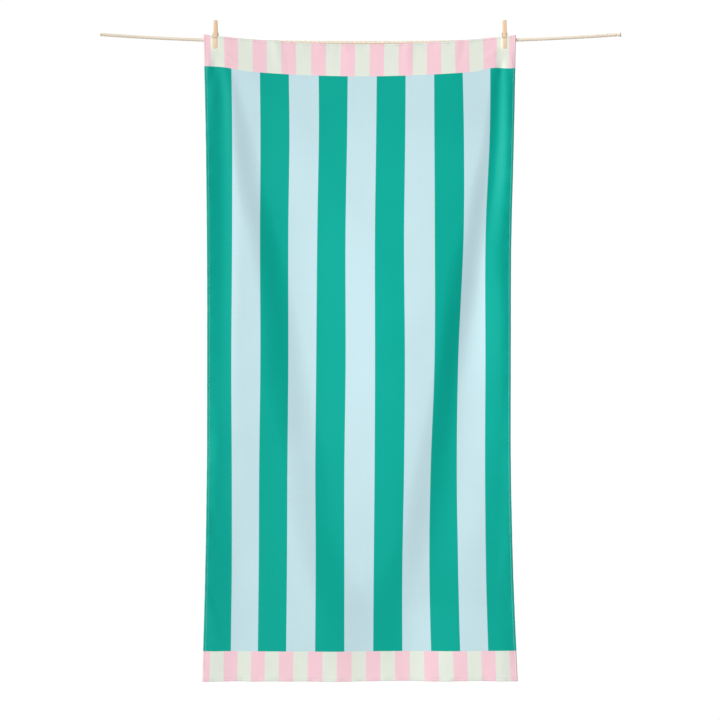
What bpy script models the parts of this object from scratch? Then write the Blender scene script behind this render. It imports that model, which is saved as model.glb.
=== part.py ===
"""A striped beach towel, hung by two wooden spring pegs from a clothesline.

Metres, +Z up. The towel's printed face looks towards -Y, and +X is on the viewer's right. The origin
is on the clothesline's centreline, halfway between its two ends. The towel and what holds it up are one
rigid body, so nothing here moves.
"""
import math

import bmesh
import bpy
import numpy as np
from mathutils import Matrix, Vector

GAP = 0.0003  # between pieces that touch

# The cloth as cut, and the wall that stands for it
CLOTH_WIDTH = 0.800
CLOTH_LENGTH = 1.600
STRIPES = 11
CLOTH_WALL = 0.0012
HEM_WIDTH = 0.007
HEM_WALL = 0.0010

# The clothesline: its ends stand above its loaded middle
LINE_RADIUS = 0.0035
LINE_HALF_SPAN = 0.645
LINE_END_RISE = 0.020
LINE_RISE_POWER = 2.3
LINE_POINTS = 75

# The hung cloth's top edge sags between the pegs, and its bottom edge is level
TOP_EDGE_MIDDLE = -0.0065
TOP_EDGE_RISE = 0.0235
TOP_EDGE_POWER = 1.5
BOTTOM_EDGE = -1.5835

# Where the pegs grip: across the flat cloth, and along the line
GRIP_ACROSS = 0.370
GRIP_HALF_WIDTH = 0.008
GRIP_DEPTH = 0.036
GRIP_FADE_ACROSS = 0.022
GRIP_FADE_DOWN = 0.055
PEG_X = {"left": -0.359, "right": 0.357}

# A wooden leg: thickness runs out from its inner face, height is above the clothesline's centre
LEG_WIDTH = 0.010
LEG_THICKNESS = 0.0075
LEG_TOP = 0.049
LEG_TIP = -0.021
LEG_TAPER_START = 0.021
LEG_TOP_THICKNESS = 0.0042
LEG_TIP_CHAMFER = 0.0020
LEG_TIP_SLOPE_START = -0.009
LEG_EDGE_ROUND = 0.0005
CATCH_HEIGHT = 0.005  # the groove across the outer face, where the spring's arm sits
CATCH_HALF_WIDTH = 0.0013
CATCH_DEPTH = 0.0010
BACK_LEG_INNER = 0.0
BACK_LEG_TILT = math.radians(2.5)  # its tip leans towards the cloth
CHANNEL_CLEARANCE = 0.0004

# The spring: one wire, wound into a coil between the legs
WIRE_RADIUS = 0.0009
COIL_RADIUS = 0.0032  # to the wire's centre
COIL_HEIGHT = 0.015
COIL_TURNS = 5
POINTS_PER_TURN = 9
ARM_SIDE = LEG_WIDTH / 2 + WIRE_RADIUS + 0.0004
CATCH_REACH = 0.0042
BEND_RADIUS = 0.0009
BEND_POINTS = 3

# Rows and columns of the cloth's mesh: closer together where the folds are, and the columns run along
# the troughs
INNER_COLUMNS = 44
COLUMN_CROWDING = 0.25
TROUGH_COLUMN = 0.215
TROUGH_COLUMN_RANGE = (0.140, 0.300)
BODY_ROWS = 38
ROW_CROWDING = 0.45

# Each table has one row for each height: the first number is how far down the flat cloth it is. Places
# across are measured from the centre line, to the viewer's right.

# down, then where each stripe's edge hangs, from the towel's left side to its right. The folds and the
# slanting pull of the pegs draw the stripes together.
STRIPE_EDGES = (
    (0.00, -0.389, -0.321, -0.250, -0.179, -0.104, -0.031, 0.041, 0.112, 0.182, 0.251, 0.321, 0.385),
    (0.22, -0.384, -0.318, -0.248, -0.176, -0.103, -0.033, 0.039, 0.111, 0.183, 0.256, 0.321, 0.381),
    (0.46, -0.381, -0.318, -0.249, -0.179, -0.107, -0.037, 0.036, 0.108, 0.184, 0.256, 0.311, 0.375),
    (0.82, -0.380, -0.321, -0.249, -0.180, -0.110, -0.038, 0.036, 0.109, 0.183, 0.241, 0.310, 0.372),
    (1.07, -0.381, -0.319, -0.251, -0.181, -0.112, -0.040, 0.035, 0.108, 0.174, 0.239, 0.309, 0.373),
    (1.30, -0.384, -0.319, -0.252, -0.182, -0.111, -0.040, 0.033, 0.104, 0.171, 0.242, 0.311, 0.378),
    (1.60, -0.392, -0.322, -0.255, -0.185, -0.113, -0.040, 0.031, 0.103, 0.175, 0.247, 0.317, 0.389),
)

# down, valley's place across, fall, left reach, rise, right reach: going to the right, the cloth falls away
# from the viewer into a trough, and rises out of it again. A trough runs from each peg to the middle of
# the bottom edge, and another one beside the left edge.
LEFT_TROUGH = (
    (0.036, -0.340, 0.0000, 0.020, 0.0000, 0.030),
    (0.130, -0.307, 0.0032, 0.028, 0.0020, 0.070),
    (0.215, -0.281, 0.0084, 0.056, 0.0040, 0.150),
    (0.365, -0.243, 0.0125, 0.078, 0.0100, 0.230),
    (0.466, -0.213, 0.0160, 0.085, 0.0120, 0.260),
    (0.667, -0.162, 0.0155, 0.098, 0.0100, 0.260),
    (0.893, -0.110, 0.0170, 0.135, 0.0090, 0.250),
    (1.145, -0.045, 0.0120, 0.160, 0.0060, 0.200),
    (1.550, 0.000, 0.0000, 0.120, 0.0000, 0.120),
)
RIGHT_TROUGH = (
    (0.036, 0.362, 0.0000, 0.016, 0.0000, 0.012),
    (0.105, 0.355, 0.0034, 0.030, 0.0044, 0.020),
    (0.265, 0.349, 0.0050, 0.052, 0.0098, 0.032),
    (0.365, 0.343, 0.0078, 0.070, 0.0120, 0.039),
    (0.466, 0.332, 0.0098, 0.084, 0.0074, 0.046),
    (0.566, 0.312, 0.0140, 0.096, 0.0090, 0.066),
    (0.667, 0.296, 0.0170, 0.096, 0.0160, 0.086),
    (0.893, 0.262, 0.0135, 0.100, 0.0110, 0.115),
    (1.145, 0.232, 0.0060, 0.112, 0.0080, 0.125),
    (1.347, 0.145, 0.0035, 0.100, 0.0090, 0.150),
    (1.600, 0.130, 0.0000, 0.100, 0.0050, 0.150),
)
LEFT_HOLLOW = (
    (0.036, -0.372, 0.0000, 0.020, 0.0000, 0.020),
    (0.130, -0.355, 0.0030, 0.028, 0.0030, 0.024),
    (0.265, -0.353, 0.0050, 0.044, 0.0042, 0.036),
    (0.466, -0.351, 0.0054, 0.048, 0.0048, 0.050),
    (0.667, -0.351, 0.0036, 0.046, 0.0036, 0.045),
    (0.893, -0.350, 0.0012, 0.046, 0.0020, 0.045),
    (1.145, -0.340, 0.0040, 0.060, 0.0006, 0.050),
    (1.347, -0.316, 0.0056, 0.080, 0.0020, 0.055),
    (1.600, -0.324, 0.0026, 0.050, 0.0012, 0.050),
)

# down, across, rise, reach: the middle of the cloth bellies forward a little
BELLY = (
    (0.000, 0.080, 0.0015, 0.300),
    (0.300, 0.100, 0.0060, 0.300),
    (0.800, 0.100, 0.0080, 0.300),
    (1.300, 0.030, 0.0085, 0.300),
    (1.550, 0.010, 0.0000, 0.300),
)

# down, across, drop, reach: the strip beside each free edge turns back
LEFT_TURN = (
    (0.850, -0.393, 0.0000, 0.012),
    (1.000, -0.390, 0.0050, 0.016),
    (1.160, -0.390, 0.0000, 0.014),
    (1.600, -0.388, 0.0020, 0.018),
)
RIGHT_TURN = (
    (0.036, 0.392, 0.0000, 0.012),
    (0.105, 0.391, 0.0020, 0.012),
    (0.360, 0.392, 0.0010, 0.012),
    (0.560, 0.386, 0.0030, 0.018),
    (0.880, 0.388, 0.0015, 0.018),
    (1.130, 0.385, -0.0010, 0.020),
    (1.600, 0.380, 0.0030, 0.025),
)

TROUGHS = (LEFT_TROUGH, RIGHT_TROUGH, LEFT_HOLLOW)
TURNS = ((-1, LEFT_TURN), (1, RIGHT_TURN))

# The cloth's front face at the pegs: clear of the line, with a hem behind it
FACE_STAND_OFF = LINE_RADIUS + GAP + HEM_WALL + GAP + CLOTH_WALL

# name: (colour, roughness, metallic)
FINISHES = {
    "printed_cloth": ((0.010, 0.402, 0.319), 0.85, 0.0),
    "hem_cloth": ((0.010, 0.402, 0.319), 0.85, 0.0),
    "line_fibre": ((0.701, 0.578, 0.445), 0.90, 0.0),
    "peg_wood": ((0.855, 0.597, 0.352), 0.60, 0.0),
    "spring_steel": ((0.420, 0.410, 0.400), 0.35, 1.0),
}


def clear_scene():
    for old in list(bpy.data.objects):
        bpy.data.objects.remove(old)


def new_collection(name):
    collection = bpy.data.collections.new(name)
    bpy.context.scene.collection.children.link(collection)
    return collection


def make_material(name):
    colour, roughness, metallic = FINISHES[name]
    material = bpy.data.materials.new(name)
    material.use_nodes = True
    shader = material.node_tree.nodes["Principled BSDF"]
    shader.inputs["Base Color"].default_value = (*colour, 1.0)
    shader.inputs["Roughness"].default_value = roughness
    shader.inputs["Metallic"].default_value = metallic
    return material


def add_object(name, data, collection, material=None):
    obj = bpy.data.objects.new(name, data)
    collection.objects.link(obj)
    if material:
        data.materials.append(material)
    return obj


# --- The form of the hung cloth -------------------------------------------------------------------


def table_at(rows, down):
    """A table's values at one height, on a smooth curve through its rows."""
    table = np.array(rows)
    heights = table[:, 0]
    values = table[:, 1:]
    tangents = np.gradient(values, heights, axis=0)
    k = int(np.clip(np.searchsorted(heights, down) - 1, 0, len(heights) - 2))
    step = heights[k + 1] - heights[k]
    t = min(max((down - heights[k]) / step, 0.0), 1.0)
    return (
        (2 * t**3 - 3 * t**2 + 1) * values[k]
        + (t**3 - 2 * t**2 + t) * step * tangents[k]
        + (3 * t**2 - 2 * t**3) * values[k + 1]
        + (t**3 - t**2) * step * tangents[k + 1]
    )


def ease(amount):
    """0 to 1 with level ends."""
    t = np.clip(amount, 0.0, 1.0)
    return t * t * (3 - 2 * t)


def swell(distance, rise, reach):
    """A rounded crest that is level at its reach."""
    return rise * np.cos(np.clip(distance / reach, -1.0, 1.0) * math.pi / 2) ** 2


def grip(across, down):
    """1 where a peg holds the cloth flat against the line, and 0 away from it."""
    beside = np.abs(np.abs(across) - GRIP_ACROSS) - GRIP_HALF_WIDTH
    below = down - GRIP_DEPTH
    return (1 - ease(beside / GRIP_FADE_ACROSS)) * (1 - ease(below / GRIP_FADE_DOWN))


def trough(distance, fall, left_reach, rise, right_reach):
    """Falls away going right until its valley, where the distance is 0, and rises again after it."""
    return rise * ease(distance / right_reach) - fall * ease(1 + distance / left_reach)


def relief(across, down):
    """How far the cloth stands towards the viewer from the plane in which the pegs hold it."""
    centre, rise, reach = table_at(BELLY, down)
    total = swell(across - centre, rise, reach)
    for rows in TROUGHS:
        valley, *form = table_at(rows, down)
        total += trough(across - valley, *form)
    for side, rows in TURNS:
        centre, drop, reach = table_at(rows, down)
        total -= drop * ease(side * (across - centre) / reach / 2 + 0.5)
    return total * (1 - grip(across, down))


def hung_row(across, down):
    """The hung places of points across the cloth, at one height down it."""
    edges = np.linspace(-CLOTH_WIDTH / 2, CLOTH_WIDTH / 2, STRIPES + 1)
    hung = np.column_stack((edges, table_at(STRIPE_EDGES, down)))
    x = np.array([table_at(hung, place)[0] for place in across])
    y = -FACE_STAND_OFF - relief(across, down)
    top = TOP_EDGE_MIDDLE + TOP_EDGE_RISE * np.abs(across / (CLOTH_WIDTH / 2)) ** TOP_EDGE_POWER
    z = top + (BOTTOM_EDGE - top) * down / CLOTH_LENGTH
    return np.stack((x, y, z), axis=-1)


def cloth_columns(down):
    """Stations across the flat cloth at one height: hem lines, the pegs' width, and columns between.

    The columns between lean with the troughs, so that each trough runs along a column.
    """
    edge = CLOTH_WIDTH / 2
    inner = GRIP_ACROSS - GRIP_HALF_WIDTH
    outer = GRIP_ACROSS + GRIP_HALF_WIDTH
    even = np.linspace(-1.0, 1.0, INNER_COLUMNS + 1)
    upright = inner * ((1 + COLUMN_CROWDING) * even - COLUMN_CROWDING * even**3)
    left_trough = np.clip(-table_at(LEFT_TROUGH, down)[0], *TROUGH_COLUMN_RANGE)
    right_trough = np.clip(table_at(RIGHT_TROUGH, down)[0], *TROUGH_COLUMN_RANGE)
    home = (-inner, -TROUGH_COLUMN, TROUGH_COLUMN, inner)
    leaning = np.interp(upright, home, (-inner, -left_trough, right_trough, inner))
    right = [outer, edge - HEM_WIDTH, edge]
    left = [-station for station in reversed(right)]
    return np.array(left + list(leaning) + right)


def cloth_rows():
    """Stations down the flat cloth: hem lines, the pegs' jaws, and closer rows near the top."""
    even = np.linspace(0.0, 1.0, BODY_ROWS + 1)
    first = GRIP_DEPTH
    last = CLOTH_LENGTH - HEM_WIDTH
    body = first + (last - first) * ((1 - ROW_CROWDING) * even + ROW_CROWDING * even**2)
    return [0.0, HEM_WIDTH, (HEM_WIDTH + first) / 2] + list(body) + [CLOTH_LENGTH]


def grid_mesh(name, rows):
    """An open surface through rows of points, listed from the left and from the top down."""
    across = len(rows[0]) - 1
    down = len(rows) - 1
    shape = bmesh.new()
    bmesh.ops.create_grid(shape, x_segments=across, y_segments=down, size=1.0)
    for vertex in shape.verts:
        column = round((vertex.co.x + 1) / 2 * across)
        row = round((1 - vertex.co.y) / 2 * down)
        vertex.co = rows[row][column]
    mesh = bpy.data.meshes.new(name)
    shape.to_mesh(mesh)
    shape.free()
    mesh.shade_smooth()
    return mesh


def add_wall(obj, thickness):
    """Gives an open surface its wall, on the side away from the viewer."""
    wall = obj.modifiers.new("wall", "SOLIDIFY")
    wall.thickness = thickness
    wall.offset = -1.0
    wall.use_even_offset = True


def back_of(rows):
    """The same grid of points, moved back through the cloth's wall and the gap behind it."""
    moved = []
    for j, row in enumerate(rows):
        above = rows[max(j - 1, 0)]
        below = rows[min(j + 1, len(rows) - 1)]
        line = []
        for i, point in enumerate(row):
            rightward = row[min(i + 1, len(row) - 1)] - row[max(i - 1, 0)]
            backward = rightward.cross(below[i] - above[i]).normalized()
            line.append(point + backward * (CLOTH_WALL + GAP))
        moved.append(line)
    return moved


def make_cloth(collection):
    rows = [[Vector(point) for point in hung_row(cloth_columns(down), down)] for down in cloth_rows()]
    material = make_material("printed_cloth")
    panel = add_object("towel_cloth", grid_mesh("towel_cloth", rows), collection, material)
    add_wall(panel, CLOTH_WALL)
    return rows


def drawn_in(row):
    """A row of points whose two ends stop short of the side hems."""
    first = row[0] + (row[1] - row[0]).normalized() * GAP
    last = row[-1] + (row[-2] - row[-1]).normalized() * GAP
    return [first] + row[1:-1] + [last]


def make_hems(rows, collection):
    """The cloth's edges turned to the back: full-length side hems, and end hems between them."""
    material = make_material("hem_cloth")
    back = back_of(rows)
    strips = {
        "hem_left": [row[:2] for row in back],
        "hem_right": [row[-2:] for row in back],
        "hem_top": [drawn_in(row[1:-1]) for row in back[:2]],
        "hem_bottom": [drawn_in(row[1:-1]) for row in back[-2:]],
    }
    for name, strip in strips.items():
        hem = add_object(name, grid_mesh(name, strip), collection, material)
        add_wall(hem, HEM_WALL)


# --- The clothesline ------------------------------------------------------------------------------


def line_height(x):
    return LINE_END_RISE * (abs(x) / LINE_HALF_SPAN) ** LINE_RISE_POWER


def tube_curve(name, points, radius):
    curve = bpy.data.curves.new(name, "CURVE")
    curve.dimensions = "3D"
    curve.bevel_depth = radius
    curve.bevel_resolution = 2
    curve.use_fill_caps = True
    spline = curve.splines.new("POLY")
    spline.points.add(len(points) - 1)
    for place, point in zip(spline.points, points):
        place.co = (*point, 1.0)
    return curve


def make_clothesline(collection):
    stations = np.linspace(-LINE_HALF_SPAN, LINE_HALF_SPAN, LINE_POINTS)
    points = [Vector((x, 0.0, line_height(x))) for x in stations]
    curve = tube_curve("clothesline", points, LINE_RADIUS)
    add_object("clothesline", curve, collection, make_material("line_fibre"))


# --- The pegs -------------------------------------------------------------------------------------


def leg_outline():
    """A leg seen from its side, as (distance out from the inner face, height) pairs."""
    outer = LEG_THICKNESS
    floor = LEG_THICKNESS - CATCH_DEPTH
    return (
        (0.0, LEG_TIP + LEG_TIP_CHAMFER),
        (0.0, LEG_TAPER_START),
        (outer - LEG_TOP_THICKNESS, LEG_TOP),
        (outer, LEG_TOP),
        (outer, CATCH_HEIGHT + CATCH_HALF_WIDTH),
        (floor, CATCH_HEIGHT + CATCH_HALF_WIDTH),
        (floor, CATCH_HEIGHT - CATCH_HALF_WIDTH),
        (outer, CATCH_HEIGHT - CATCH_HALF_WIDTH),
        (outer, LEG_TIP_SLOPE_START),
        (outer - LEG_TIP_CHAMFER, LEG_TIP),
        (LEG_TIP_CHAMFER / 2, LEG_TIP),
    )


def leg_mesh(wood):
    """The outline, spread across the leg's width. The inner face is on the local plane y = 0."""
    shape = bmesh.new()
    corners = [shape.verts.new((-LEG_WIDTH / 2, out, height)) for out, height in leg_outline()]
    face = shape.faces.new(corners)
    spread = bmesh.ops.extrude_face_region(shape, geom=[face])
    moved = [item for item in spread["geom"] if isinstance(item, bmesh.types.BMVert)]
    bmesh.ops.translate(shape, verts=moved, vec=(LEG_WIDTH, 0.0, 0.0))
    bmesh.ops.recalc_face_normals(shape, faces=shape.faces)
    mesh = bpy.data.meshes.new("peg_leg")
    shape.to_mesh(mesh)
    shape.free()
    mesh.materials.append(wood)
    return mesh


def add_cutter(name, radius, centre, cutters):
    """A round bar along X that hollows out what it crosses."""
    shape = bmesh.new()
    across = Matrix.Rotation(math.pi / 2, 4, "Y")
    bmesh.ops.create_cone(
        shape,
        cap_ends=True,
        segments=24,
        radius1=radius,
        radius2=radius,
        depth=LEG_WIDTH * 2,
        matrix=across,
    )
    mesh = bpy.data.meshes.new(name)
    shape.to_mesh(mesh)
    shape.free()
    cutter = add_object(name, mesh, cutters)
    cutter.location = centre
    cutter.hide_render = True
    cutter.display_type = "WIRE"
    return cutter


def round_edges(leg):
    bevel = leg.modifiers.new("rounded_edges", "BEVEL")
    bevel.width = LEG_EDGE_ROUND
    bevel.segments = 1
    bevel.limit_method = "ANGLE"


def hollow_out(leg, cutter):
    cut = leg.modifiers.new(cutter.name, "BOOLEAN")
    cut.operation = "DIFFERENCE"
    cut.object = cutter


def front_leg_place():
    """From a leg's own axes to the peg's: the front leg's inner face lies against the cloth."""
    return Matrix.Translation((0.0, -FACE_STAND_OFF - GAP, 0.0)) @ Matrix.Rotation(math.pi, 4, "Z")


def back_leg_place():
    return Matrix.Translation((0.0, BACK_LEG_INNER, 0.0)) @ Matrix.Rotation(-BACK_LEG_TILT, 4, "X")


def coil_centre():
    """Halfway between the legs' inner faces, as (y, z) from the clothesline's centre."""
    front = front_leg_place() @ Vector((0.0, 0.0, COIL_HEIGHT))
    back = back_leg_place() @ Vector((0.0, 0.0, COIL_HEIGHT))
    return Vector(((front.y + back.y) / 2, COIL_HEIGHT))


def catch_place(leg_place):
    """Where the wire's centre lies in a leg's groove, as (y, z) from the clothesline's centre."""
    out = LEG_THICKNESS - CATCH_DEPTH + GAP + WIRE_RADIUS
    place = leg_place @ Vector((0.0, out, CATCH_HEIGHT))
    return Vector((place.y, place.z))


def upper_touch(catch, centre):
    """Where a straight wire from the catch meets the top side of the coil."""
    away = centre - catch
    length = away.length
    base = math.atan2(away.y, away.x)
    swing = math.copysign(math.asin(COIL_RADIUS / length), away.x)
    reach = math.sqrt(length**2 - COIL_RADIUS**2)
    return catch + reach * Vector((math.cos(base + swing), math.sin(base + swing)))


def rounded(points):
    """A run of points whose inner corners are bent to a small radius."""
    bent = [points[0]]
    for before, corner, after in zip(points, points[1:], points[2:]):
        start = corner + (before - corner).normalized() * BEND_RADIUS
        end = corner + (after - corner).normalized() * BEND_RADIUS
        for i in range(BEND_POINTS):
            t = i / (BEND_POINTS - 1)
            bent.append(start * (1 - t) ** 2 + corner * 2 * t * (1 - t) + end * t**2)
    bent.append(points[-1])
    return bent


def coil_points(centre, first, last):
    """The coil's turns, wound over the top from the front arm's side to the back arm's side."""
    start = math.atan2(first.y - centre.y, first.x - centre.x)
    end = math.atan2(last.y - centre.y, last.x - centre.x) - 2 * math.pi * COIL_TURNS
    count = COIL_TURNS * POINTS_PER_TURN
    points = []
    for i in range(count + 1):
        angle = start + (end - start) * i / count
        x = ARM_SIDE * (2 * i / count - 1)
        y = centre.x + COIL_RADIUS * math.cos(angle)
        z = centre.y + COIL_RADIUS * math.sin(angle)
        points.append(Vector((x, y, z)))
    return points


def spring_points():
    """One wire: across the front leg, up to the coil, round it, and down across the back leg."""
    centre = coil_centre()
    front = catch_place(front_leg_place())
    back = catch_place(back_leg_place())
    coil = coil_points(centre, upper_touch(front, centre), upper_touch(back, centre))
    front_arm = rounded([Vector((CATCH_REACH, *front)), Vector((-ARM_SIDE, *front)), coil[0]])
    back_arm = rounded([coil[-1], Vector((ARM_SIDE, *back)), Vector((-CATCH_REACH, *back))])
    return front_arm[:-1] + coil + back_arm[1:]


def make_peg(side, mesh, steel, collection, cutters):
    place = Vector((PEG_X[side], 0.0, line_height(PEG_X[side])))
    centre = coil_centre()
    seat = add_cutter(
        f"coil_seat_{side}",
        COIL_RADIUS + WIRE_RADIUS + GAP,
        place + Vector((0.0, *centre)),
        cutters,
    )
    channel = add_cutter(f"line_channel_{side}", LINE_RADIUS + CHANNEL_CLEARANCE, place, cutters)
    legs = {
        "front_leg": (front_leg_place(), (seat,)),
        "back_leg": (back_leg_place(), (seat, channel)),
    }
    for part, (leg_place, hollows) in legs.items():
        leg = add_object(f"peg_{side}_{part}", mesh, collection)
        leg.matrix_world = Matrix.Translation(place) @ leg_place
        round_edges(leg)
        for cutter in hollows:
            hollow_out(leg, cutter)
    curve = tube_curve(f"peg_{side}_spring", spring_points(), WIRE_RADIUS)
    spring = add_object(f"peg_{side}_spring", curve, collection, steel)
    spring.location = place


def main():
    clear_scene()
    towel = new_collection("beach_towel_on_line")
    cutters = new_collection("cutters")
    rows = make_cloth(towel)
    make_hems(rows, towel)
    make_clothesline(towel)
    mesh = leg_mesh(make_material("peg_wood"))
    steel = make_material("spring_steel")
    for side in PEG_X:
        make_peg(side, mesh, steel, towel, cutters)


main()
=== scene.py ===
"""The looks of a striped beach towel, hung by two wooden spring pegs from a twisted clothesline.

Metres, +Z up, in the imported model's own frame: the origin is on the clothesline's centreline, halfway
along it, the towel's printed face looks towards -Y, and +X is on the viewer's right. The cloth has its
solid's sizes, with finer tables of folds, turned hems and stitches.
"""

import math

import bmesh
import bpy
import numpy as np
from mathutils import Matrix, Vector, noise


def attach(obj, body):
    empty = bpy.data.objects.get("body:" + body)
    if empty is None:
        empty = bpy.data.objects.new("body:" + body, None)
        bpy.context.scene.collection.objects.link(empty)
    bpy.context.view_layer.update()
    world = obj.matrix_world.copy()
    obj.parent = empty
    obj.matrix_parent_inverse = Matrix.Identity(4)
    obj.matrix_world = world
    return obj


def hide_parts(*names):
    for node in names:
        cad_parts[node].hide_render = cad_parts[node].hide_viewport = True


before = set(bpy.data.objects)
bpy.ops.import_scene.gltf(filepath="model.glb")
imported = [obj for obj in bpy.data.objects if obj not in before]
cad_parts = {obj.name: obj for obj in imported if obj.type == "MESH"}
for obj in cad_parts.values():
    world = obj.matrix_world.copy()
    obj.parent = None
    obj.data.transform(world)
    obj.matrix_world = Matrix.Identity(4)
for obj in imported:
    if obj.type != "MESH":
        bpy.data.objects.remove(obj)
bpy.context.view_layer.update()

GAP = 0.0003  # between pieces that touch, in the solids

# The cloth as cut, and the solids that stand for it
CLOTH_WIDTH = 0.800
CLOTH_LENGTH = 1.600
CLOTH_WALL = 0.0012
HEM_WIDTH = 0.007
HEM_WALL = 0.0010

# The clothesline: its ends stand above its loaded middle
LINE_RADIUS = 0.0035
LINE_HALF_SPAN = 0.645
LINE_END_RISE = 0.020
LINE_RISE_POWER = 2.3

# The hung cloth's top edge sags between the pegs, and its bottom edge is nearly level
TOP_EDGE_MIDDLE = -0.0043
TOP_EDGE_RISES = (0.0243, 0.0223)  # to the left corner and to the right one
TOP_EDGE_POWER = 1.9
BOTTOM_EDGE = -1.5835

# Where the pegs grip: across the flat cloth, and along the line
GRIP_ACROSS = 0.370
GRIP_HALF_WIDTH = 0.008
GRIP_DEPTH = 0.036
GRIP_FADE_ACROSS = 0.022
GRIP_FADE_DOWN = 0.055
PEG_X = {"left": -0.359, "right": 0.357}

# A wooden leg: thickness runs out from its inner face, height is above the clothesline's centre
LEG_WIDTH = 0.010
LEG_TOP_WIDTH = 0.0083  # the handle narrows to this
LEG_THICKNESS = 0.0075
LEG_TOP = 0.049
LEG_TIP = -0.021
LEG_TAPER_START = 0.021
LEG_TOP_THICKNESS = 0.0042
LEG_TIP_CHAMFER = 0.0020
LEG_TIP_SLOPE_START = -0.009
LEG_EDGE_ROUND = 0.0006
PALE_JAW_START = 0.012  # the wood turns paler below this height
PALE_JAW_FADE = 0.010
PALE_JAW_SHARE = 0.8
DARK_TOP = 0.0004  # how deep the darker tone of the handle's cut end goes
SHARP_ANGLE = math.radians(32)
CUTTER_SIDES = 48
CATCH_HEIGHT = 0.005
CATCH_HALF_WIDTH = 0.0013
CATCH_DEPTH = 0.0010
BACK_LEG_INNER = 0.0  # its inner face meets the line's own height here
BACK_LEG_TILT = math.radians(2.5)
CHANNEL_CLEARANCE = 0.0009

# The spring: one wire, wound into a coil between the legs
WIRE_RADIUS = 0.0009
COIL_RADIUS = 0.0032
COIL_HEIGHT = 0.015
COIL_TURNS = 5
POINTS_PER_TURN = 24
ARM_SIDE = LEG_WIDTH / 2 + WIRE_RADIUS + 0.0004
CATCH_REACH = 0.0042
BEND_RADIUS = 0.0009
BEND_POINTS = 6

# Each table has one row for each height: the first number is how far down the flat cloth it is. Places
# across are measured from the centre line, to the viewer's right.

# down, then where each stripe's edge hangs, from the towel's left side to its right. The folds and the
# slanting pull of the pegs draw the stripes together.
STRIPE_EDGES = (
    (0.00, -0.389, -0.321, -0.250, -0.179, -0.104, -0.031, 0.041, 0.112, 0.182, 0.251, 0.321, 0.385),
    (0.22, -0.384, -0.318, -0.248, -0.176, -0.103, -0.033, 0.039, 0.111, 0.183, 0.256, 0.321, 0.381),
    (0.46, -0.381, -0.318, -0.249, -0.179, -0.107, -0.037, 0.036, 0.108, 0.184, 0.256, 0.311, 0.375),
    (0.82, -0.380, -0.320, -0.248, -0.179, -0.110, -0.037, 0.036, 0.110, 0.183, 0.242, 0.310, 0.373),
    (1.07, -0.381, -0.319, -0.251, -0.181, -0.112, -0.040, 0.035, 0.108, 0.174, 0.239, 0.309, 0.373),
    (1.30, -0.384, -0.319, -0.252, -0.182, -0.111, -0.040, 0.033, 0.104, 0.171, 0.242, 0.311, 0.378),
    (1.60, -0.392, -0.322, -0.255, -0.185, -0.113, -0.040, 0.031, 0.104, 0.177, 0.249, 0.319, 0.390),
)

# down, valley's place across, fall, left reach, rise, right reach: going to the right, the cloth falls away
# from the viewer into a trough, and rises out of it again. A trough runs from each peg to the middle of
# the bottom edge, and another one beside the left edge.
LEFT_TROUGH = (
    (0.036, -0.340, 0.0000, 0.020, 0.0000, 0.030),
    (0.130, -0.307, 0.0027, 0.026, 0.0020, 0.070),
    (0.215, -0.280, 0.0070, 0.056, 0.0040, 0.150),
    (0.365, -0.242, 0.0112, 0.078, 0.0100, 0.200),
    (0.466, -0.210, 0.0150, 0.086, 0.0120, 0.240),
    (0.667, -0.162, 0.0150, 0.098, 0.0100, 0.260),
    (0.893, -0.110, 0.0155, 0.130, 0.0090, 0.250),
    (1.020, -0.080, 0.0135, 0.120, 0.0080, 0.230),
    (1.145, -0.062, 0.0120, 0.125, 0.0060, 0.200),
    (1.245, -0.042, 0.0120, 0.125, 0.0060, 0.180),
    (1.347, -0.003, 0.0130, 0.140, 0.0060, 0.160),
    (1.425, 0.085, 0.0165, 0.200, 0.0050, 0.150),
    (1.500, 0.110, 0.0130, 0.220, 0.0035, 0.150),
    (1.600, 0.110, 0.0060, 0.240, 0.0000, 0.150),
)
RIGHT_TROUGH = (
    (0.036, 0.362, 0.0000, 0.016, 0.0000, 0.012),
    (0.105, 0.356, 0.0032, 0.026, 0.0044, 0.020),
    (0.265, 0.349, 0.0046, 0.050, 0.0094, 0.032),
    (0.365, 0.343, 0.0063, 0.070, 0.0108, 0.039),
    (0.466, 0.330, 0.0080, 0.084, 0.0070, 0.046),
    (0.566, 0.308, 0.0102, 0.096, 0.0072, 0.062),
    (0.667, 0.294, 0.0142, 0.096, 0.0140, 0.092),
    (0.893, 0.262, 0.0115, 0.098, 0.0095, 0.120),
    (1.020, 0.244, 0.0088, 0.104, 0.0078, 0.125),
    (1.145, 0.220, 0.0066, 0.110, 0.0060, 0.125),
    (1.245, 0.192, 0.0066, 0.110, 0.0060, 0.130),
    (1.347, 0.155, 0.0066, 0.110, 0.0050, 0.150),
    (1.448, 0.140, 0.0030, 0.090, 0.0030, 0.150),
    (1.600, 0.140, 0.0000, 0.090, 0.0010, 0.150),
)
LEFT_HOLLOW = (
    (0.036, -0.372, 0.0000, 0.020, 0.0000, 0.020),
    (0.130, -0.355, 0.0030, 0.028, 0.0036, 0.024),
    (0.265, -0.353, 0.0050, 0.044, 0.0046, 0.036),
    (0.466, -0.351, 0.0052, 0.048, 0.0052, 0.050),
    (0.667, -0.351, 0.0036, 0.046, 0.0036, 0.045),
    (0.893, -0.350, 0.0012, 0.046, 0.0020, 0.045),
    (1.145, -0.340, 0.0034, 0.060, 0.0010, 0.070),
    (1.347, -0.316, 0.0048, 0.080, 0.0024, 0.090),
    (1.448, -0.316, 0.0024, 0.080, 0.0012, 0.090),
    (1.600, -0.324, 0.0004, 0.050, 0.0006, 0.060),
)

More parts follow.
